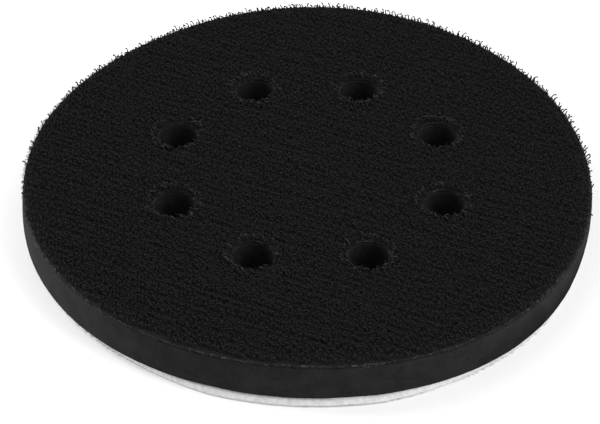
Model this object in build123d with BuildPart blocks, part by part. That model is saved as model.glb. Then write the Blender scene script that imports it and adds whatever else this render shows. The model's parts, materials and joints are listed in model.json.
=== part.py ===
from build123d import *
import os

# Soft interface pad for a random-orbital sander: a foam disc with hook-and-loop faces.
# It is a bonded stack of round layers, all punched through by the same eight dust holes.
# The origin is the centre of the tool-side face, and +Z points to the work side.
# All sizes are in millimetres.

# Outline
PAD_DIAMETER = 127.0            # nominal 5 in pad
HOLE_COUNT = 8
HOLE_DIAMETER = 9.5             # 3/8 in dust holes
HOLE_CIRCLE_DIAMETER = 64.0
FIRST_HOLE_ANGLE = 180 / HOLE_COUNT     # +X falls midway between two holes

# Layers, from the tool side up
LOOP_PILE_THICKNESS = 1.6       # brushed loops that grip the sander's own hooks
LOOP_CLOTH_THICKNESS = 0.4      # knitted cloth that carries the loops
ADHESIVE_THICKNESS = 0.12       # flame-bonded film on each side of the foam
FOAM_THICKNESS = 8.0
HOOK_CLOTH_THICKNESS = 0.5      # woven tape that carries the hooks
HOOK_PILE_THICKNESS = 1.5       # height of the hooks above their tape

# Edges
LOOP_EDGE_ROUNDING = 0.6        # the brushed loops splay at every cut edge
HOOK_EDGE_ROUNDING = 0.3        # the outermost hooks are cut short

# Heights of the faces between the layers
LOOP_CLOTH_BOTTOM = LOOP_PILE_THICKNESS
LOOP_ADHESIVE_BOTTOM = LOOP_CLOTH_BOTTOM + LOOP_CLOTH_THICKNESS
FOAM_BOTTOM = LOOP_ADHESIVE_BOTTOM + ADHESIVE_THICKNESS
HOOK_ADHESIVE_BOTTOM = FOAM_BOTTOM + FOAM_THICKNESS
HOOK_CLOTH_BOTTOM = HOOK_ADHESIVE_BOTTOM + ADHESIVE_THICKNESS
HOOK_PILE_BOTTOM = HOOK_CLOTH_BOTTOM + HOOK_CLOTH_THICKNESS
PAD_HEIGHT = HOOK_PILE_BOTTOM + HOOK_PILE_THICKNESS


def draw_punched_disc():
    """Draw the pad's outline and its dust holes in the sketch that is open."""
    Circle(PAD_DIAMETER / 2)
    with PolarLocations(HOLE_CIRCLE_DIAMETER / 2, HOLE_COUNT, start_angle=FIRST_HOLE_ANGLE):
        Circle(HOLE_DIAMETER / 2, mode=Mode.SUBTRACT)


# Loop pile: the space that the brushed loops fill, rounded where they splay at the edges
with BuildPart() as loop_pile:
    with BuildSketch(Plane.XY):
        draw_punched_disc()
    extrude(amount=LOOP_PILE_THICKNESS)
    fillet(loop_pile.faces().sort_by(Axis.Z)[0].edges(), radius=LOOP_EDGE_ROUNDING)

# Loop cloth: the knitted ground that the loops grow from
with BuildPart() as loop_cloth:
    with BuildSketch(Plane.XY.offset(LOOP_CLOTH_BOTTOM)):
        draw_punched_disc()
    extrude(amount=LOOP_CLOTH_THICKNESS)

# Loop adhesive: the film that holds the loop cloth to the foam
with BuildPart() as loop_adhesive:
    with BuildSketch(Plane.XY.offset(LOOP_ADHESIVE_BOTTOM)):
        draw_punched_disc()
    extrude(amount=ADHESIVE_THICKNESS)

# Foam core: the soft disc that gives the pad its spring
with BuildPart() as foam_core:
    with BuildSketch(Plane.XY.offset(FOAM_BOTTOM)):
        draw_punched_disc()
    extrude(amount=FOAM_THICKNESS)

# Hook adhesive: the film that holds the hook tape to the foam
with BuildPart() as hook_adhesive:
    with BuildSketch(Plane.XY.offset(HOOK_ADHESIVE_BOTTOM)):
        draw_punched_disc()
    extrude(amount=ADHESIVE_THICKNESS)

# Hook cloth: the woven tape that the hooks stand in
with BuildPart() as hook_cloth:
    with BuildSketch(Plane.XY.offset(HOOK_CLOTH_BOTTOM)):
        draw_punched_disc()
    extrude(amount=HOOK_CLOTH_THICKNESS)

# Hook pile: the space that the monofilament hooks fill, where an abrasive disc presses on
with BuildPart() as hook_pile:
    with BuildSketch(Plane.XY.offset(HOOK_PILE_BOTTOM)):
        draw_punched_disc()
    extrude(amount=HOOK_PILE_THICKNESS)
    fillet(hook_pile.faces().sort_by(Axis.Z)[-1].edges(), radius=HOOK_EDGE_ROUNDING)

loop_pile.part.label = "loop_pile"
loop_cloth.part.label = "loop_cloth"
loop_adhesive.part.label = "loop_adhesive"
foam_core.part.label = "foam_core"
hook_adhesive.part.label = "hook_adhesive"
hook_cloth.part.label = "hook_cloth"
hook_pile.part.label = "hook_pile"

os.makedirs("parts", exist_ok=True)
export_step(loop_pile.part, "parts/loop_pile.step")
export_step(loop_cloth.part, "parts/loop_cloth.step")
export_step(loop_adhesive.part, "parts/loop_adhesive.step")
export_step(foam_core.part, "parts/foam_core.step")
export_step(hook_adhesive.part, "parts/hook_adhesive.step")
export_step(hook_cloth.part, "parts/hook_cloth.step")
export_step(hook_pile.part, "parts/hook_pile.step")
print("pad diameter", PAD_DIAMETER, "height", PAD_HEIGHT)
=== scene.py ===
import json
import math

import bpy
import numpy as np
from mathutils import Matrix, Vector
from mathutils.geometry import delaunay_2d_cdt


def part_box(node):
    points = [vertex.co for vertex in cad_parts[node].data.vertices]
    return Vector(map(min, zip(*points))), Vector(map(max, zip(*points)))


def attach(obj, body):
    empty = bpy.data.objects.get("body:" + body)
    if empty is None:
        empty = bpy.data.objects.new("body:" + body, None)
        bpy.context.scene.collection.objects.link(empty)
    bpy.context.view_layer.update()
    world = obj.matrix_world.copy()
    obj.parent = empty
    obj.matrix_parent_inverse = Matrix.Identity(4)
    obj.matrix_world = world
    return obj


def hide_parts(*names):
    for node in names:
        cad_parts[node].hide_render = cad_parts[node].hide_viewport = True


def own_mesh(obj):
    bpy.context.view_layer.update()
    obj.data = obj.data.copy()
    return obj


# A soft hook-and-loop interface pad, lying on its loop face. All lengths are in metres.
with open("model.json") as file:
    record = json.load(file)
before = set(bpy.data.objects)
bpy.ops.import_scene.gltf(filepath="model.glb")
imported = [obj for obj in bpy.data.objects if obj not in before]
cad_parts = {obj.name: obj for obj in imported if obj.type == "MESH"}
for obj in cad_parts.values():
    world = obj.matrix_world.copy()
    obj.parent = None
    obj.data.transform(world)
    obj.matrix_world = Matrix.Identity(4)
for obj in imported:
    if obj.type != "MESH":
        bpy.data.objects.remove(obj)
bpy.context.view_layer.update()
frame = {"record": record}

MM = 0.001


def mount_dims(name):
    """The dimensions that the record states for one mount."""
    return next(m for m in frame["record"]["mounts"] if m["name"] == name)["dims"]


# The pad's outline and layer heights, from the frame
HOLE_COUNT = mount_dims("dust_holes")["count"]
HOLE_CIRCLE_RADIUS = mount_dims("dust_holes")["pcd_mm"] * MM / 2
HOLE_RADIUS = mount_dims("dust_holes")["hole_r_mm"] * MM
PAD_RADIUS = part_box("foam_core")[1].x
FLOOR_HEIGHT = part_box("loop_pile")[0].z
LOOP_CLOTH_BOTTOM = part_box("loop_cloth")[0].z
LOOP_CLOTH_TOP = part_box("loop_cloth")[1].z
FOAM_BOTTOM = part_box("foam_core")[0].z
FOAM_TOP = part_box("foam_core")[1].z
HOOK_CLOTH_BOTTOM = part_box("hook_cloth")[0].z
HOOK_CLOTH_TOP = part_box("hook_cloth")[1].z
HOOK_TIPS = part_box("hook_pile")[1].z
HOLE_CENTRES = [
    (
        HOLE_CIRCLE_RADIUS * math.cos(math.tau * (number + 0.5) / HOLE_COUNT),
        HOLE_CIRCLE_RADIUS * math.sin(math.tau * (number + 0.5) / HOLE_COUNT),
    )
    for number in range(HOLE_COUNT)
]

# The pad is cut a little out of round: waves round the rim, height of each wave, angle of a crest
RIM_WAVES = (
    (1, 0.4 * MM, math.radians(75)),
    (2, 0.7 * MM, math.radians(167)),
    (3, 0.78 * MM, math.radians(-140)),
    (5, 0.2 * MM, math.radians(85)),
)
RIM_REACH = PAD_RADIUS + sum(height for _, height, _ in RIM_WAVES)

# Camera: a long lens that looks down on the pad's front, turned and rolled a little
LENS_MM = 119.3
SENSOR_MM = 36
VIEW_ELEVATION = math.radians(39.55)
VIEW_TURN = math.radians(-0.96)
VIEW_ROLL = math.radians(0.48)
VIEW_DISTANCE = 431.7 * MM
VIEW_AIM = Vector((-2.16 * MM, -14.9 * MM, HOOK_CLOTH_TOP))

# Hook tape: rows of hooks in groups of three, woven at an angle to the pad. Each row in a group is
# shifted along, and so is each group, and every hook stands a little out of place
ROW_ANGLE = math.radians(-24)
HOOK_PITCH = 1.63 * MM
ROW_GAPS = (1.55 * MM, 1.75 * MM, 1.8 * MM)
ROW_SHIFTS = (0.0, 0.24 * MM, 0.1 * MM)
GROUP_SHIFT = -0.094 * MM
SPREAD_ALONG = 0.1 * MM
SPREAD_ACROSS = 0.15 * MM
MISSING_SHARE = 0.02

# How far inside the cut edges the hooks and the pile's loops have their roots, at least
EDGE_CLEARANCE = 0.05 * MM

# One hook: its height, its wire, and how far it leans for each unit of height
HOOK_HEIGHT = HOOK_TIPS - HOOK_CLOTH_TOP
WIRE_RADIUS = 0.14 * MM
HOOK_LEAN = (-0.22, 0.05)
LEAN_SPREAD = 0.1
LEAN_FROM_HOLE = 0.2
LEAN_FROM_HOLE_REACH = 1.6 * MM
LEAN_OVER_RIM = 0.9
LEAN_OVER_RIM_REACH = 1.5 * MM

# The stands of hooks: two share each row and two stand between the rows. For each: its shift along and
# across the rows and its bare margin at the rim, in mm; which way it curls; and the least and most
# height (as a share of the full height), curl radius in mm and angle of the curl in degrees
HOOK_STANDS = (
    (0.0, 0.0, 0.2, 1, (0.86, 1.0), (0.18, 0.26), (160, 250)),
    (0.8, 0.05, 0.5, -1, (0.74, 0.96), (0.16, 0.24), (60, 190)),
    (0.4, 0.85, 0.8, 1, (0.7, 0.94), (0.16, 0.24), (60, 200)),
    (1.2, 0.85, 0.8, -1, (0.64, 0.92), (0.16, 0.24), (60, 200)),
)

# The hooks that the punch bruised: how many for each hole, their least and most distance from its edge
# in mm, and the same three pairs as for the stands
BRUISED_PER_HOLE = 36
BRUISED_REACH = (0.3, 1.5)
BRUISED_SHAPE = ((0.85, 1.0), (0.16, 0.28), (90, 240))

# How many pieces the hooks and the pile's loops are shared between
HOOK_PIECES = 12
LOOP_PIECES = 4

# The brushed pile: its mat stands clear of the floor, single loops hang from it, and it is drawn in
# under the foam on two sides
MAT_CLEARANCE = 0.45 * MM
LOOP_ROOT_HEIGHT = 0.62 * MM
LOOP_CLEARANCE = 0.05 * MM
LOOP_YARN_RADIUS = 0.045 * MM
MOST_DRAWN_IN = 1.0 * MM

# Studio: the floor, the even surround, and the soft boxes as name, place, size in metres and watts
FLOOR_HALF_WIDTH = 3.0
SURROUND_STRENGTH = 0.9
SOFT_BOXES = (
    ("left_box", (-0.98, 0.39, 0.49), 0.7, 14.8),
    ("right_box", (0.84, -0.33, 0.66), 0.7, 10.3),
)


def camera_first():
    """The camera, placed from the view's angles, distance and aim."""
    flat = math.cos(VIEW_ELEVATION)
    back = Vector((math.sin(VIEW_TURN) * flat, -math.cos(VIEW_TURN) * flat, math.sin(VIEW_ELEVATION)))
    level = Vector((math.cos(VIEW_TURN), math.sin(VIEW_TURN), 0))
    upright = back.cross(level)
    right = math.cos(VIEW_ROLL) * level + math.sin(VIEW_ROLL) * upright
    up = back.cross(right)
    turned = Matrix((right, up, back)).transposed().to_4x4()
    camera = bpy.data.objects.new("camera", bpy.data.cameras.new("camera"))
    camera.data.sensor_width = SENSOR_MM
    camera.data.lens = LENS_MM
    camera.data.clip_start = 0.01
    camera.data.clip_end = 20
    camera.matrix_world = Matrix.Translation(VIEW_AIM + back * VIEW_DISTANCE) @ turned
    bpy.context.scene.collection.objects.link(camera)
    bpy.context.scene.camera = camera


# Geometry helpers

def lattice_value(cells, seed):
    """A fixed pseudo-random number from -1 to 1 for each row of whole numbers, by mixing their bits."""
    cell_primes = np.array([73856093, 19349663, 83492791])
    seed_prime = 104729
    mixing_prime = 1274126177
    mixed = cells @ cell_primes + seed * seed_prime
    mixed = (mixed ^ (mixed >> 13)) * mixing_prime
    low_bits = (mixed ^ (mixed >> 16)) & 0xFFFF
    return low_bits / (0xFFFF / 2) - 1


def smooth_noise(points, size, seed):
    """Value noise from -1 to 1 at each point, with features of that size."""
    cell = points / size
    base = np.floor(cell).astype(np.int64)
    part = cell - base
    part = part * part * (3 - 2 * part)
    total = np.zeros(len(points))
    for corner in np.ndindex(2, 2, 2):
        weight = np.prod(np.where(np.array(corner), part, 1 - part), axis=1)
        total += weight * lattice_value(base + np.array(corner), seed)
    return total


def new_piece(name, points, quads, triangles, material):
    """A smooth-shaded mesh object from arrays of points and corners."""
    mesh = bpy.data.meshes.new(name)
    corners = np.concatenate([np.ravel(quads), np.ravel(triangles)]).astype(np.int32)
    sizes = np.concatenate([np.full(len(quads), 4), np.full(len(triangles), 3)])
    starts = np.concatenate([[0], np.cumsum(sizes)[:-1]]).astype(np.int32)
    mesh.vertices.add(len(points))
    mesh.vertices.foreach_set("co", np.ravel(points).astype(np.float32))
    mesh.loops.add(len(corners))
    mesh.loops.foreach_set("vertex_index", corners)
    mesh.polygons.add(len(sizes))
    mesh.polygons.foreach_set("loop_start", starts)
    mesh.polygons.foreach_set("use_smooth", np.ones(len(sizes), bool))
    mesh.update(calc_edges=True)
    mesh.validate()
    mesh.materials.append(material)
    piece = bpy.data.objects.new(name, mesh)
    bpy.context.scene.collection.objects.link(piece)
    return piece


def rim_radius(angles):
    """The rim's distance from the centre at each angle."""
    return PAD_RADIUS + sum(height * np.cos(waves * angles - crest) for waves, height, crest in RIM_WAVES)


def outline_loops(spacing):
    """The rim and the holes as (centre, radii, angles): the rim anticlockwise and the holes clockwise."""
    count = round(math.tau * PAD_RADIUS / spacing)
    angles = math.tau * np.arange(count) / count
    loops = [(np.zeros(2), rim_radius(angles), angles)]
    count = round(math.tau * HOLE_RADIUS / spacing)
    angles = -math.tau * np.arange(count) / count
    return loops + [(np.array(centre), np.full(count, HOLE_RADIUS), angles) for centre in HOLE_CENTRES]


def loop_points(loops):
    """The points of all the loops, one after another, and the outward direction at each."""
    outward = [np.stack([np.cos(a), np.sin(a)], 1) for _, _, a in loops]
    points = [c + r[:, None] * o for (c, r, _), o in zip(loops, outward)]
    sides = [o if i == 0 else -o for i, o in enumerate(outward)]
    return np.concatenate(points), np.concatenate(sides)


def inside_points(spacing, margin):
    """A staggered grid of points within the outline, clear of every edge by the margin."""
    across = np.arange(-RIM_REACH, RIM_REACH, spacing)
    x, y = np.meshgrid(across, np.arange(-RIM_REACH, RIM_REACH, spacing * math.sqrt(3) / 2))
    x[1::2] += spacing / 2
    points = np.stack([x.ravel(), y.ravel()], 1)
    return points[edge_distance(points) > margin]


def rim_distance(points):
    """How far each point lies inside the rim."""
    return rim_radius(np.arctan2(points[:, 1], points[:, 0])) - np.hypot(points[:, 0], points[:, 1])


def edge_distance(points):
    """How far each point lies inside the outline: from the rim or the nearest hole's edge."""
    distance = rim_distance(points)
    for x, y in HOLE_CENTRES:
        distance = np.minimum(distance, np.hypot(points[:, 0] - x, points[:, 1] - y) - HOLE_RADIUS)
    return distance


def at_rim(points):
    """1 for a point well beyond the holes, as on the rim's wall, and 0 for one on a hole's wall."""
    return (np.hypot(points[:, 0], points[:, 1]) > HOLE_CIRCLE_RADIUS + 2 * HOLE_RADIUS).astype(float)


def fill_outline(loops, spacing):
    """Flat triangles over the punched disc, as (points, triangles); the loops' points come first."""
    edge_points, _ = loop_points(loops)
    points = np.concatenate([edge_points, inside_points(spacing, spacing / 2)])
    edges = []
    owner = np.full(len(points), -1)
    first = 0
    for number, (_, _, angles) in enumerate(loops):
        count = len(angles)
        edges += [(first + i, first + (i + 1) % count) for i in range(count)]
        owner[first:first + count] = number
        first += count
    closeness = 1e-9
    found = delaunay_2d_cdt([Vector(p) for p in points], edges, [], 0, closeness, False)
    triangles = np.array(found[2])
    owners = owner[triangles]
    across_hole = (owners[:, 0] > 0) & (owners[:, 0] == owners[:, 1]) & (owners[:, 0] == owners[:, 2])
    return points, triangles[~across_hole]


def no_relief(points):
    """A flat face."""
    return np.zeros(len(points))


def slab(
    name, material, bottom, top, edge_spacing, rows, top_spacing, bottom_spacing, side,
    top_relief=no_relief, bottom_relief=no_relief,
):
    """One punched layer as a closed mesh. side(points, share) moves the cut walls out or in, share
    running from 0 at the bottom to 1, and the reliefs raise a face by a height at each point."""
    loops = outline_loops(edge_spacing)
    edge_count = sum(len(a) for _, _, a in loops)
    _, outward = loop_points(loops)
    top_flat, top_triangles = fill_outline(loops, top_spacing)
    bottom_flat, bottom_triangles = fill_outline(loops, bottom_spacing)
    top_face = np.column_stack([top_flat, top + top_relief(top_flat)])
    bottom_face = np.column_stack([bottom_flat, bottom + bottom_relief(bottom_flat)])
    layers = []
    for row in range(rows + 1):
        share = row / rows
        ring = bottom_face[:edge_count] * (1 - share) + top_face[:edge_count] * share
        ring[:, :2] += outward * side(ring, share)[:, None]
        layers.append(ring)
    bottom_face[:edge_count] = layers[0]
    top_face[:edge_count] = layers[-1]
    points = np.concatenate([bottom_face, top_face] + layers[1:-1])
    first_between = len(bottom_face) + len(top_face)
    between = [first_between + edge_count * row for row in range(rows - 1)]
    starts = [0] + between + [len(bottom_face)]
    following = np.concatenate(
        [first + (np.arange(len(a)) + 1) % len(a) for first, (_, _, a) in zip(loop_starts(loops), loops)]
    )
    here = np.arange(edge_count)
    quads = np.concatenate(
        [
            np.stack([low + here, low + following, high + following, high + here], 1)
            for low, high in zip(starts[:-1], starts[1:])
        ]
    )
    triangles = np.concatenate([bottom_triangles[:, ::-1], top_triangles + len(bottom_face)])
    return new_piece(name, points, quads, triangles, material)


def paint_walls(piece, rim_material, hole_material):
    """Other materials on the upright faces: one round the rim and one inside the holes."""
    piece.data.materials.append(rim_material)
    piece.data.materials.append(hole_material)
    faces = len(piece.data.polygons)
    centres, normals = np.empty(3 * faces), np.empty(3 * faces)
    piece.data.polygons.foreach_get("center", centres)
    piece.data.polygons.foreach_get("normal", normals)
    centres, normals = centres.reshape(-1, 3), normals.reshape(-1, 3)
    wall = np.where(at_rim(centres) > 0, 1, 2)
    wall_below = 0.8
    upright = np.abs(normals[:, 2]) < wall_below
    piece.data.polygons.foreach_set("material_index", np.where(upright, wall, 0).astype(np.int32))


def loop_starts(loops):
    """The number of the first point of each loop."""
    return np.concatenate([[0], np.cumsum([len(a) for _, _, a in loops])[:-1]])


def tubes(paths, radii, plane_normals, sides):
    """Closed tubes along many paths at once, as (points, quads, triangles).
    paths is (tubes, stations, 3), radii is (tubes, stations), plane_normals is (tubes, 3)."""
    count, stations, _ = paths.shape
    tangent = np.gradient(paths, axis=1)
    tangent /= np.linalg.norm(tangent, axis=2, keepdims=True)
    first = np.broadcast_to(plane_normals[:, None, :], paths.shape)
    second = np.cross(tangent, first)
    second /= np.linalg.norm(second, axis=2, keepdims=True)
    first = np.cross(second, tangent)
    turn = math.tau * np.arange(sides) / sides
    ring = first[:, :, None, :] * np.cos(turn)[:, None] + second[:, :, None, :] * np.sin(turn)[:, None]
    points = (paths[:, :, None, :] + ring * radii[:, :, None, None]).reshape(-1, 3)
    start = np.arange(count)[:, None, None] * stations * sides
    station = np.arange(stations - 1)[None, :, None] * sides
    side = np.arange(sides)[None, None, :]
    after = (side + 1) % sides
    here, there = start + station, start + station + sides
    quads = np.stack([here + side, there + side, there + after, here + after], -1).reshape(-1, 4)
    fan = np.array([[0, i, i + 1] for i in range(1, sides - 1)])
    firsts = (np.arange(count) * stations * sides)[:, None, None]
    lasts = firsts + (stations - 1) * sides
    triangles = np.concatenate([(firsts + fan).reshape(-1, 3), (lasts + fan[:, ::-1]).reshape(-1, 3)])
    return points, quads, triangles


# Materials

def new_material(name, roughness, specular):
    """A Principled material, returned with its node tree and shader."""
    material = bpy.data.materials.new(name)
    material.use_nodes = True
    tree = material.node_tree
    shader = tree.nodes["Principled BSDF"]
    shader.inputs["Roughness"].default_value = roughness
    shader.inputs["Specular IOR Level"].default_value = specular
    return material, tree, shader


def object_place(tree):
    """The object's own coordinates, in metres."""
    return tree.nodes.new("ShaderNodeTexCoord").outputs["Object"]


def noise(tree, place, size, detail=2.0):
    """A noise texture with features of about that size."""
    node = tree.nodes.new("ShaderNodeTexNoise")
    node.inputs["Scale"].default_value = 1 / size
    node.inputs["Detail"].default_value = detail
    tree.links.new(place, node.inputs["Vector"])
    return node.outputs["Fac"]


def ramp(tree, value, stops):
    """A colour ramp through (place, grey) stops."""
    node = tree.nodes.new("ShaderNodeValToRGB")
    elements = node.color_ramp.elements
    while len(elements) < len(stops):
        elements.new(0.5)
    for element, (place, grey) in zip(elements, stops):
        element.position = place
        element.color = (grey, grey, grey, 1)
    tree.links.new(value, node.inputs["Fac"])
    return node.outputs["Color"]


def maths(tree, operation, first, second):
    """A math node on two values, each a socket or a number."""
    node = tree.nodes.new("ShaderNodeMath")
    node.operation = operation
    for socket, value in zip(node.inputs, (first, second)):
        if isinstance(value, (int, float)):
            socket.default_value = value
        else:
            tree.links.new(value, socket)
    return node.outputs["Value"]


def bump(tree, shader, height, depth, strength=1.0):
    """Bumps that deep on the shader's surface."""
    node = tree.nodes.new("ShaderNodeBump")
    node.inputs["Distance"].default_value = depth
    node.inputs["Strength"].default_value = strength
    tree.links.new(height, node.inputs["Height"])
    tree.links.new(node.outputs["Normal"], shader.inputs["Normal"])


def turned_place(tree, place, angle):
    """The same coordinates turned about Z, so that X runs along the rows of the weave."""
    node = tree.nodes.new("ShaderNodeVectorRotate")
    node.rotation_type = "Z_AXIS"
    node.inputs["Angle"].default_value = -angle
    tree.links.new(place, node.inputs["Vector"])
    return node.outputs["Vector"]


def waves(tree, place, pitch, direction):
    """A slightly wavering sine wave of that pitch along X or Y."""
    pitch_at_scale_one = math.tau / 20
    node = tree.nodes.new("ShaderNodeTexWave")
    node.bands_direction = direction
    node.inputs["Scale"].default_value = pitch_at_scale_one / pitch
    node.inputs["Distortion"].default_value = 0.6
    tree.links.new(place, node.inputs["Vector"])
    return node.outputs["Fac"]


def hook_nylon():
    """Dull black monofilament, a little uneven in gloss and tone, with painted shade: darker towards the
    roots and paler towards the tips.
    """
    roughness = 0.7
    unevenness = 0.1
    material, tree, shader = new_material("hook_nylon", roughness, specular=0.07)
    place = object_place(tree)
    part = tree.nodes.new("ShaderNodeSeparateXYZ")
    tree.links.new(place, part.inputs["Vector"])
    height = maths(tree, "DIVIDE", maths(tree, "SUBTRACT", part.outputs["Z"], HOOK_CLOTH_TOP), HOOK_HEIGHT)
    height_shade = maths(tree, "ADD", height, maths(tree, "MULTIPLY", noise(tree, place, 1.5 * MM), 0.2))
    # Painted shade by height: the hooks are darker low down and paler at the tips
    tree.links.new(ramp(tree, height_shade, [(0.15, 0.007), (0.85, 0.0107)]), shader.inputs["Base Color"])
    stops = [(0.3, roughness - unevenness), (0.7, roughness + unevenness)]
    tree.links.new(ramp(tree, noise(tree, place, 0.5 * MM), stops), shader.inputs["Roughness"])
    bump(tree, shader, noise(tree, place, 0.08 * MM), depth=0.01 * MM, strength=0.6)
    return material


def bruised_nylon():
    """The same nylon where the punch has whitened it a little."""
    material, tree, shader = new_material("bruised_nylon", roughness=0.6, specular=0.09)
    tone = noise(tree, object_place(tree), 0.7 * MM)
    tree.links.new(ramp(tree, tone, [(0.35, 0.011), (0.65, 0.026)]), shader.inputs["Base Color"])
    return material


def hook_cloth_weave():
    """Matt black woven tape, with yarns in both directions."""
    material, tree, shader = new_material("hook_cloth_weave", roughness=0.8, specular=0.04)
    place = object_place(tree)
    rows = turned_place(tree, place, ROW_ANGLE)
    warp = waves(tree, rows, pitch=0.55 * MM, direction="X")
    weft = waves(tree, rows, pitch=0.42 * MM, direction="Y")
    weave = maths(tree, "MULTIPLY", warp, weft)
    tone = maths(tree, "ADD", weave, maths(tree, "MULTIPLY", noise(tree, place, 1.4 * MM), 0.3))
    tree.links.new(ramp(tree, tone, [(0.05, 0.0055), (0.75, 0.018)]), shader.inputs["Base Color"])
    bump(tree, shader, weave, depth=0.12 * MM)
    return material


def cut_edge():
    """The tape's cut edge, as grey as the foam, with paler flecks."""
    material, tree, shader = new_material("cut_edge", roughness=0.8, specular=0.1)
    tone = noise(tree, object_place(tree), 0.8 * MM, detail=3)
    stops = [(0.35, 0.008), (0.55, 0.018), (0.72, 0.075)]
    tree.links.new(ramp(tree, tone, stops), shader.inputs["Base Color"])
    bump(tree, shader, tone, depth=0.1 * MM)
    return material


def cut_yarn():
    """Yarn ends that are grey where the blade whitened them, in patches."""
    material, tree, shader = new_material("cut_yarn", roughness=0.6, specular=0.15)
    tone = noise(tree, object_place(tree), 2.2 * MM, detail=3)
    tree.links.new(ramp(tree, tone, [(0.5, 0.008), (0.75, 0.06)]), shader.inputs["Base Color"])
    return material


def shaded_wall():
    """The punched walls of the holes, painted darker than the foam as painted shade inside the holes."""
    material, tree, shader = new_material("shaded_wall", roughness=0.95, specular=0.03)
    tone = noise(tree, object_place(tree), 1.2 * MM, detail=3)
    tree.links.new(ramp(tree, tone, [(0.3, 0.008), (0.7, 0.014)]), shader.inputs["Base Color"])
    return material


def share_between(tree, value, low, high):
    """0 where the value is at the low end or beyond it, rising evenly to 1 at the high end."""
    share = maths(tree, "DIVIDE", maths(tree, "SUBTRACT", value, low), high - low)
    return maths(tree, "MINIMUM", maths(tree, "MAXIMUM", share, 0.0), 1.0)


def painted_shade_and_light(tree, place):
    """How much darker the foam is painted: painted shade towards the foot of the right side, and painted
    light, paler, on the left side.
    """
    start, full = 0.5 * PAD_RADIUS, 0.9 * PAD_RADIUS
    even_depth = 0.25
    shade_strength = 0.6
    light_strength = 0.22
    part = tree.nodes.new("ShaderNodeSeparateXYZ")
    tree.links.new(place, part.inputs["Vector"])
    shade_side = share_between(tree, part.outputs["X"], start, full)
    lit_side = share_between(tree, part.outputs["X"], -start, -full)
    depth = share_between(tree, part.outputs["Z"], FOAM_TOP, FOAM_BOTTOM)
    # Painted shade: darker towards the foot of the right side
    painted_shade = maths(tree, "MULTIPLY", maths(tree, "SUBTRACT", depth, even_depth), shade_strength)
    painted_shade = maths(tree, "MULTIPLY", painted_shade, shade_side)
    # Painted light: paler on the left side
    return maths(tree, "SUBTRACT", painted_shade, maths(tree, "MULTIPLY", lit_side, light_strength))


def foam_cells():
    """Charcoal foam with fine cells and faint cloudiness, with painted shade towards the foot of the right
    side and painted light on the left side.
    """
    material, tree, shader = new_material("foam_cells", roughness=0.85, specular=0.03)
    cell_size = 0.3 * MM
    cell_contrast = 0.3
    cloud_contrast = 0.4
    least_tone = 0.15
    place = object_place(tree)
    cells = tree.nodes.new("ShaderNodeTexVoronoi")
    cells.inputs["Scale"].default_value = 1 / cell_size
    tree.links.new(place, cells.inputs["Vector"])
    cloud = maths(tree, "MULTIPLY", noise(tree, place, 4 * MM, detail=5), cloud_contrast)
    tone = maths(tree, "ADD", cloud, least_tone)
    tone = maths(tree, "ADD", tone, maths(tree, "MULTIPLY", cells.outputs["Distance"], cell_contrast))
    # Painted shade and painted light come off the tone, by place on the foam
    tone = maths(tree, "SUBTRACT", tone, painted_shade_and_light(tree, place))
    stops = [(0.1, 0.002), (0.3, 0.006), (0.66, 0.02), (0.9, 0.028)]
    tree.links.new(ramp(tree, tone, stops), shader.inputs["Base Color"])
    bump(tree, shader, cells.outputs["Distance"], depth=0.05 * MM, strength=0.7)
    return material


def adhesive_film():
    """A thin dark film, satin, with small clouds."""
    material, tree, shader = new_material("adhesive_film", roughness=0.5, specular=0.2)
    place = object_place(tree)
    tone = noise(tree, place, 2 * MM)
    tree.links.new(ramp(tree, tone, [(0.3, 0.01), (0.7, 0.03)]), shader.inputs["Base Color"])
    bump(tree, shader, noise(tree, place, 0.2 * MM), depth=0.02 * MM)
    return material


def loop_nylon():
    """Off-white brushed nylon with soft grey variation."""
    material, tree, shader = new_material("loop_nylon", roughness=0.8, specular=0.3)
    place = object_place(tree)
    tone = noise(tree, place, 0.9 * MM, detail=4)
    tree.links.new(ramp(tree, tone, [(0.25, 0.46), (0.75, 0.64)]), shader.inputs["Base Color"])
    bump(tree, shader, noise(tree, place, 0.12 * MM, detail=3), depth=0.05 * MM)
    shader.inputs["Sheen Weight"].default_value = 0.2
    return material


def floor_white():
    """A plain white surface with a hint of unevenness."""
    material, tree, shader = new_material("floor_white", roughness=0.9, specular=0.1)
    tone = noise(tree, object_place(tree), 80 * MM)
    tree.links.new(ramp(tree, tone, [(0.3, 0.828), (0.7, 0.842)]), shader.inputs["Base Color"])
    return material


# Pieces

def along_rows(points):
    """Each point's place along the rows of hooks, and across them."""
    c, s = math.cos(ROW_ANGLE), math.sin(ROW_ANGLE)
    return points[:, 0] * c + points[:, 1] * s, points[:, 1] * c - points[:, 0] * s


def row_heights():
    """Every row of hooks, as (place across the pad, group, number in the group of three)."""
    period = sum(ROW_GAPS)
    groups = math.ceil(PAD_RADIUS / period) + 1
    steps = np.concatenate([[0], np.cumsum(ROW_GAPS)[:-1]])
    return [(g * period + steps[n], g, n) for g in range(-groups, groups + 1) for n in range(len(ROW_GAPS))]


def tape_relief(points):
    """Ribs under the rows of hooks, crossed by coarse yarns; the tape is lowest between the ribs."""
    rib_width = 0.4 * MM
    rib_height = 0.1
    yarn_pitch = HOOK_PITCH / 2
    yarn_height = 0.04
    unevenness = 0.03
    along, across = along_rows(points)
    rows = np.array([place for place, _, _ in row_heights()])
    nearest = np.abs(across[:, None] - rows[None, :]).min(axis=1)
    rib = np.exp(-((nearest / rib_width) ** 2))
    yarn = np.cos(math.tau * along / yarn_pitch)
    lumps = smooth_noise(np.column_stack([points, np.zeros(len(points))]), 1.2 * MM, 3)
    return (rib_height * rib + yarn_height * yarn * rib + unevenness * lumps - rib_height) * MM


def tape_side(points, share):
    """The tape's cut edge: a little uneven, inside the foam's edge, and rounded off at the top."""
    inset = 0.12
    rounding = 0.12
    ragged = 0.1 * smooth_noise(points, 0.7 * MM, 5) + 0.08 * smooth_noise(points, 2.5 * MM, 6)
    return (ragged - inset - rounding * share ** 4) * MM


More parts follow.
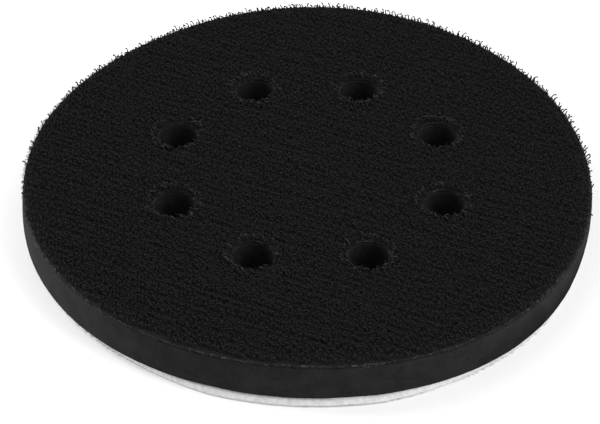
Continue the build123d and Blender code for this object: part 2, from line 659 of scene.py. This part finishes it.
def make_hook_tape(hole_wall):
    """The woven tape that the hooks stand in, laid flat on the foam."""
    tape = slab(
        "woven_hook_tape", hook_cloth_weave(), HOOK_CLOTH_BOTTOM, HOOK_CLOTH_TOP,
        edge_spacing=0.45 * MM, rows=4, top_spacing=0.48 * MM, bottom_spacing=3 * MM,
        side=tape_side, top_relief=tape_relief,
    )
    paint_walls(tape, cut_edge(), hole_wall)
    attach(tape, "work_face")
    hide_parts("hook_cloth")
    return tape


def make_cut_yarns():
    """Short yarn ends that stand out of the tape's cut edge, at the rim and round the holes."""
    random = np.random.default_rng(19)
    spacing = 0.22 * MM
    inset = 0.25 * MM
    stations = 4
    edge_points, outward = loop_points(outline_loops(spacing))
    count = len(edge_points)
    tangent = np.stack([-outward[:, 1], outward[:, 0]], 1)
    at_hole = 1 - at_rim(edge_points)
    start = edge_points - outward * inset + tangent * random.normal(0, 0.1 * MM, (count, 1))
    length = random.uniform(0.2, 0.75, count)[:, None] * MM
    slant = random.normal(0, 0.9, count)[:, None]
    height = random.uniform(0.1, 1.0, count)[:, None] * (HOOK_CLOTH_TOP - HOOK_CLOTH_BOTTOM)
    rise = (random.uniform(-0.15, 0.5, count) + at_hole * random.uniform(0.0, 1.6, count))[:, None]
    reach = np.linspace(0, 1, stations)[None, :]
    ahead = outward[:, None, :] * (length * reach)[:, :, None]
    aside = tangent[:, None, :] * (length * slant * reach ** 2)[:, :, None]
    z = HOOK_CLOTH_BOTTOM + height + length * rise * reach ** 2
    paths = np.concatenate([start[:, None, :] + ahead + aside, z[:, :, None]], 2)
    normals = np.tile((0.0, 0.0, 1.0), (count, 1))
    radii = random.uniform(0.03, 0.06, count)[:, None] * MM * np.ones((1, stations))
    points, quads, triangles = tubes(paths, radii, normals, sides=4)
    yarns = new_piece("cut_yarn_ends", points, quads, triangles, cut_yarn())
    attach(yarns, "work_face")
    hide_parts("hook_cloth")
    return yarns


def moved(sites, along, across):
    """The sites shifted along the rows and across them, by one distance or by one for each site."""
    c, s = math.cos(ROW_ANGLE), math.sin(ROW_ANGLE)
    return sites + np.stack([along * c - across * s, along * s + across * c], -1)


def hook_sites():
    """Where the hooks stand, and which way each row curls."""
    count = math.ceil(2 * PAD_RADIUS / HOOK_PITCH)
    sites, ways = [], []
    for number, (across, group, place) in enumerate(row_heights()):
        along = (np.arange(count) - count / 2) * HOOK_PITCH + ROW_SHIFTS[place] + GROUP_SHIFT * group
        sites.append(moved(np.zeros((count, 2)), along, across))
        ways.append(np.full(count, 1 if number % 2 else -1))
    return np.concatenate(sites), np.concatenate(ways)


def scattered(sites, ways, margin, random):
    """The sites on the pad, each a little out of place, with a few missing. None is within the margin
    of the rim, a margin that narrows to nothing on one side."""
    count = len(sites)
    sites = moved(sites, random.normal(0, SPREAD_ALONG, count), random.normal(0, SPREAD_ACROSS, count))
    margins = margin * (1 - np.clip(sites[:, 0] / PAD_RADIUS, 0, 1))
    inside = (edge_distance(sites) > EDGE_CLEARANCE) & (rim_distance(sites) > margins)
    kept = inside & (random.random(count) > MISSING_SHARE)
    return sites[kept], ways[kept]


def lean_of(sites, random):
    """How far each hook leans for each unit of height: all one way, a little back from a hole beside it,
    and out over the rim on one side."""
    lean = np.array(HOOK_LEAN) + random.normal(0, LEAN_SPREAD, (len(sites), 2))
    for centre in HOLE_CENTRES:
        inward = np.array(centre) - sites
        distance = np.linalg.norm(inward, axis=1)
        near_hole = np.clip(1 - (distance - HOLE_RADIUS) / LEAN_FROM_HOLE_REACH, 0, 1)
        lean -= LEAN_FROM_HOLE * near_hole[:, None] * inward / distance[:, None]
    near_rim = np.clip(1 - rim_distance(sites) / LEAN_OVER_RIM_REACH, 0, 1)
    to_side = np.clip(sites[:, 0] / PAD_RADIUS, 0, 1)
    lean[:, 0] += LEAN_OVER_RIM * near_rim * to_side
    return lean


def hook_tubes(sites, ways, heights, curls, sweeps, random):
    """Hooks as tubes: a shank that bows a little, then a curl. The pairs are the least and most
    height, curl radius and angle of the curl, as in HOOK_STANDS."""
    shank_stations = 4
    curl_stations = 7
    sides = 5
    root = -0.2 * MM
    tip_share = 0.7
    most_bow = 0.16
    heading_spread = 0.35
    count = len(sites)
    lean = lean_of(sites, random)
    height = random.uniform(*heights, count) * HOOK_HEIGHT - WIRE_RADIUS
    curl = random.uniform(*curls, count) * MM
    sweep = np.radians(random.uniform(*sweeps, count))
    bow = random.uniform(0.0, most_bow, count) * MM
    up = np.linspace(0, 1, shank_stations)[None, :]
    shank_z = root + up * (height - curl - root)[:, None]
    shank_x = -np.sin(math.pi * up) * bow[:, None]
    turn = math.pi - np.linspace(0, 1, curl_stations + 1)[None, 1:] * sweep[:, None]
    arc_x = curl[:, None] * (1 + np.cos(turn))
    arc_z = (height - curl)[:, None] + curl[:, None] * np.sin(turn)
    x = np.concatenate([shank_x, arc_x], 1)
    z = np.concatenate([shank_z, arc_z], 1)
    heading = ROW_ANGLE + random.normal(0, heading_spread, count)
    flat = np.stack([np.cos(heading), np.sin(heading)], 1) * ways[:, None]
    rise = np.clip(z, 0, None)[:, :, None]
    ground = sites[:, None, :] + flat[:, None, :] * x[:, :, None] + lean[:, None, :] * rise
    paths = np.concatenate([ground, (HOOK_CLOTH_TOP + z)[:, :, None]], 2)
    normals = np.stack([-flat[:, 1], flat[:, 0], np.zeros(count)], 1)
    radii = np.full(paths.shape[:2], WIRE_RADIUS)
    radii[:, -1] *= tip_share
    return tubes(paths, radii, normals, sides)


def sector(sites, count):
    """Which of that many equal slices of the disc each site lies in."""
    turn = np.arctan2(sites[:, 1], sites[:, 0]) / math.tau + 0.5
    return np.minimum(turn * count, count - 1).astype(int)


def make_bruised_hooks():
    """The hooks round each hole that the punch whitened and bent."""
    random = np.random.default_rng(58)
    count = BRUISED_PER_HOLE * HOLE_COUNT
    angle = random.uniform(0, math.tau, count)
    distance = HOLE_RADIUS + random.uniform(*BRUISED_REACH, count) * MM
    outward = np.stack([np.cos(angle), np.sin(angle)], 1)
    sites = np.repeat(np.array(HOLE_CENTRES), BRUISED_PER_HOLE, axis=0) + outward * distance[:, None]
    ways = random.choice([-1, 1], count)
    points, quads, triangles = hook_tubes(sites, ways, *BRUISED_SHAPE, random)
    piece = new_piece("bruised_hooks", points, quads, triangles, bruised_nylon())
    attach(piece, "work_face")
    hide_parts("hook_pile")
    return piece


def joined(shapes):
    """Several (points, quads, triangles) as one."""
    points, quads, triangles = [], [], []
    first = 0
    for p, q, t in shapes:
        points.append(p)
        quads.append(q + first)
        triangles.append(t + first)
        first += len(p)
    return np.concatenate(points), np.concatenate(quads), np.concatenate(triangles)


def make_hooks():
    """Each loop of monofilament is cut once, so beside the full hooks stand shorter, more open ones."""
    random = np.random.default_rng(41)
    material = hook_nylon()
    all_sites, all_ways = hook_sites()
    stands = []
    for along, across, margin, way, heights, curls, sweeps in HOOK_STANDS:
        shifted = moved(all_sites, along * MM, across * MM)
        stands.append((*scattered(shifted, way * all_ways, margin * MM, random), heights, curls, sweeps))
    pieces = []
    for number in range(HOOK_PIECES):
        shapes = []
        for sites, ways, heights, curls, sweeps in stands:
            chosen = sector(sites, HOOK_PIECES) == number
            shapes.append(hook_tubes(sites[chosen], ways[chosen], heights, curls, sweeps, random))
        points, quads, triangles = joined(shapes)
        piece = new_piece(f"hooks_{number + 1}", points, quads, triangles, material)
        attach(piece, "work_face")
        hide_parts("hook_pile")
        pieces.append(piece)
    return pieces


def foam_side(points, share):
    """The foam's cut wall: fine cells and slow waves, and at the rim a slight barrel shape and slant."""
    widest = 0.47
    girth = 0.58
    rounding = 1.5
    most_slant = 0.5
    fine = 0.04 * smooth_noise(points, 0.45 * MM, 11)
    slow = 0.1 * smooth_noise(points, 7 * MM, 12)
    barrel = girth - rounding * (share - widest) ** 2
    slant = most_slant * (share - 0.5) * points[:, 0] / PAD_RADIUS
    return (fine + slow + (barrel + slant) * at_rim(points)) * MM


def make_foam(hole_wall):
    """The foam disc."""
    foam = slab(
        "foam_disc", foam_cells(), FOAM_BOTTOM, FOAM_TOP,
        edge_spacing=0.45 * MM, rows=24, top_spacing=3 * MM, bottom_spacing=3 * MM, side=foam_side,
    )
    paint_walls(foam, foam.data.materials[0], hole_wall)
    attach(foam, "tool_side")
    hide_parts("foam_core")
    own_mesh(foam)
    return foam


def knit_relief(points):
    """The tufts of the loop pile's underside, in the staggered columns of the knit. The pile's edge lies
    lower, and is down on the floor except along a stretch in the middle of the front and of the back."""
    column_pitch = 1.5 * MM
    tuft_pitch = 1.9 * MM
    stretch_centre = 13 * MM
    stretch_half = 10 * MM
    fade = 14 * MM
    edge_width = 2 * MM
    edge_drop = 0.12
    further_drop = 0.26
    deepest = 0.4
    flat = np.column_stack([points, np.zeros(len(points))])
    tuft = np.cos(math.tau * points[:, 0] / column_pitch) * np.cos(math.tau * points[:, 1] / tuft_pitch)
    lumps = 0.12 * tuft + 0.18 * smooth_noise(flat, 1.1 * MM, 21) + 0.1 * smooth_noise(flat, 4 * MM, 22)
    sideways = np.clip((np.abs(points[:, 0] - stretch_centre) - stretch_half) / fade, 0, 1)
    at_edge = np.clip(1 - rim_distance(points) / edge_width, 0, 1)
    relief = lumps * (1 - sideways * at_edge) - (edge_drop + further_drop * sideways) * at_edge
    return np.maximum(relief, -deepest) * MM


def drawn_in(points):
    """How far the pile is drawn in under the foam at the rim: on the left and right, and not between."""
    stretch_centre = -3 * MM
    stretch_half = 18 * MM
    fade = 22 * MM
    sideways = np.clip((np.abs(points[:, 0] - stretch_centre) - stretch_half) / fade, 0, 1)
    return MOST_DRAWN_IN * at_rim(points) * sideways


def pile_side(points, share):
    """The pile bulges past the cloth, most at the rim where it isn't drawn in, and is fuzzy."""
    bulge_at_hole = 0.2
    more_at_rim = 0.7
    foot = 0.3
    profile = math.sin(math.pi * min(1.0, foot + (1 - foot) * share))
    bulge = (bulge_at_hole + more_at_rim * at_rim(points)) * profile
    bulge = bulge * (1 - drawn_in(points) / MOST_DRAWN_IN)
    undercut = 0.1 * (1 - share) ** 3
    stretched = points * np.array([1, 1, 0.25])
    fuzz = 0.1 * smooth_noise(stretched, 0.4 * MM, 23)
    return (bulge - undercut + fuzz) * MM - drawn_in(points)


def cloth_side(points, share):
    """The loop cloth's cut edge, a little short of the foam and drawn in half as far as the pile."""
    inset = 0.12
    return (0.05 * smooth_noise(points, 0.5 * MM, 24) - inset) * MM - 0.5 * drawn_in(points)


def make_loop_side():
    """The knitted cloth, the mat of brushed pile under it, and single loops over that."""
    material = loop_nylon()
    cloth = slab(
        "knitted_loop_cloth", material, LOOP_CLOTH_BOTTOM, LOOP_CLOTH_TOP,
        edge_spacing=0.5 * MM, rows=3, top_spacing=3 * MM, bottom_spacing=3 * MM, side=cloth_side,
    )
    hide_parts("loop_cloth")
    mat = slab(
        "brushed_pile_mat", material, FLOOR_HEIGHT + MAT_CLEARANCE, LOOP_CLOTH_BOTTOM,
        edge_spacing=0.5 * MM, rows=6, top_spacing=3 * MM, bottom_spacing=0.55 * MM,
        side=pile_side, bottom_relief=knit_relief,
    )
    pile = [mat] + make_pile_loops(material)
    for piece in pile:
        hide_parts("loop_pile")
    for piece in [cloth] + pile:
        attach(piece, "tool_side")
    return cloth, pile


def make_pile_loops(material):
    """Thousands of fine nylon loops, thickest at the rim and the holes' edges."""
    random = np.random.default_rng(77)
    stations = 8
    edge_spacing = 0.3 * MM
    sites = inside_points(spacing=1.5 * MM, margin=0.1 * MM)
    sites = sites + random.normal(0, 0.25 * MM, sites.shape)
    edge_points, outward = loop_points(outline_loops(edge_spacing))
    inward = random.uniform(0.1, 0.9, (len(edge_points), 1)) * MM
    sites = np.concatenate([sites, edge_points - outward * inward])
    sites = sites[(edge_distance(sites) > EDGE_CLEARANCE) & (rim_distance(sites) > drawn_in(sites))]
    count = len(sites)
    heading = random.uniform(0, math.tau, count)
    flat = np.stack([np.cos(heading), np.sin(heading)], 1)
    width = random.uniform(0.35, 0.7, count)[:, None] * MM
    depth = random.uniform(0.45, 0.75, count)[:, None] * MM
    turn = np.linspace(0, math.pi, stations)[None, :]
    x = -width * np.cos(turn)
    drop = depth * np.sin(turn)
    sway = random.normal(0, 0.3, (count, 2))
    ground = sites[:, None, :] + flat[:, None, :] * x[:, :, None] + sway[:, None, :] * drop[:, :, None]
    z = np.maximum(FLOOR_HEIGHT + LOOP_ROOT_HEIGHT - drop, FLOOR_HEIGHT + LOOP_CLEARANCE)
    paths = np.concatenate([ground, z[:, :, None]], 2)
    normals = np.stack([-flat[:, 1], flat[:, 0], np.zeros(count)], 1)
    radii = np.full(paths.shape[:2], LOOP_YARN_RADIUS)
    owner = sector(sites, LOOP_PIECES)
    pieces = []
    for number in range(LOOP_PIECES):
        chosen = owner == number
        points, quads, triangles = tubes(paths[chosen], radii[chosen], normals[chosen], sides=4)
        pieces.append(new_piece(f"brushed_loops_{number + 1}", points, quads, triangles, material))
    return pieces


def film_side(points, share):
    """The film's edge stops a little short of the foam's widest girth."""
    inset = 0.3
    return (0.05 * smooth_noise(points, 1.5 * MM, 31) - inset) * MM


def make_bond_films():
    """The two thin films that bond the cloths to the foam."""
    material = adhesive_film()
    for name, node, body in (
        ("lower_bond_film", "loop_adhesive", "tool_side"),
        ("upper_bond_film", "hook_adhesive", "work_face"),
    ):
        low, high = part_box(node)
        film = slab(
            name, material, low.z, high.z,
            edge_spacing=0.6 * MM, rows=1, top_spacing=4 * MM, bottom_spacing=4 * MM, side=film_side,
        )
        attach(film, body)
        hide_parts(node)


# Studio

def make_floor():
    """A large plain white floor."""
    corners = FLOOR_HALF_WIDTH * np.array([(-1, -1), (1, -1), (1, 1), (-1, 1)])
    points = np.column_stack([corners, np.full(len(corners), FLOOR_HEIGHT)])
    floor = new_piece("floor", points, np.array([[0, 1, 2, 3]]), np.zeros((0, 3), int), floor_white())


def soft_box(name, place, size, power):
    """A square area light that faces the pad."""
    light = bpy.data.lights.new(name, "AREA")
    light.size = size
    light.energy = power
    lamp = bpy.data.objects.new(name, light)
    lamp.location = place
    lamp.rotation_mode = "QUATERNION"
    lamp.rotation_quaternion = (-Vector(place)).to_track_quat("-Z", "Y")
    bpy.context.scene.collection.objects.link(lamp)


def make_lights():
    """A bright even surround, with one soft box behind on the left and one in front on the right."""
    world = bpy.data.worlds.new("studio")
    world.use_nodes = True
    surround = world.node_tree.nodes["Background"]
    surround.inputs["Color"].default_value = (1, 1, 1, 1)
    surround.inputs["Strength"].default_value = SURROUND_STRENGTH
    bpy.context.scene.world = world
    for name, place, size, power in SOFT_BOXES:
        soft_box(name, place, size, power)
    bpy.context.scene.view_settings.view_transform = "Standard"


camera_first()
hole_wall = shaded_wall()
tape = make_hook_tape(hole_wall)
hooks = make_hooks() + [make_bruised_hooks(), make_cut_yarns()]
make_foam(hole_wall)
cloth, pile = make_loop_side()
make_bond_films()
make_floor()
make_lights()
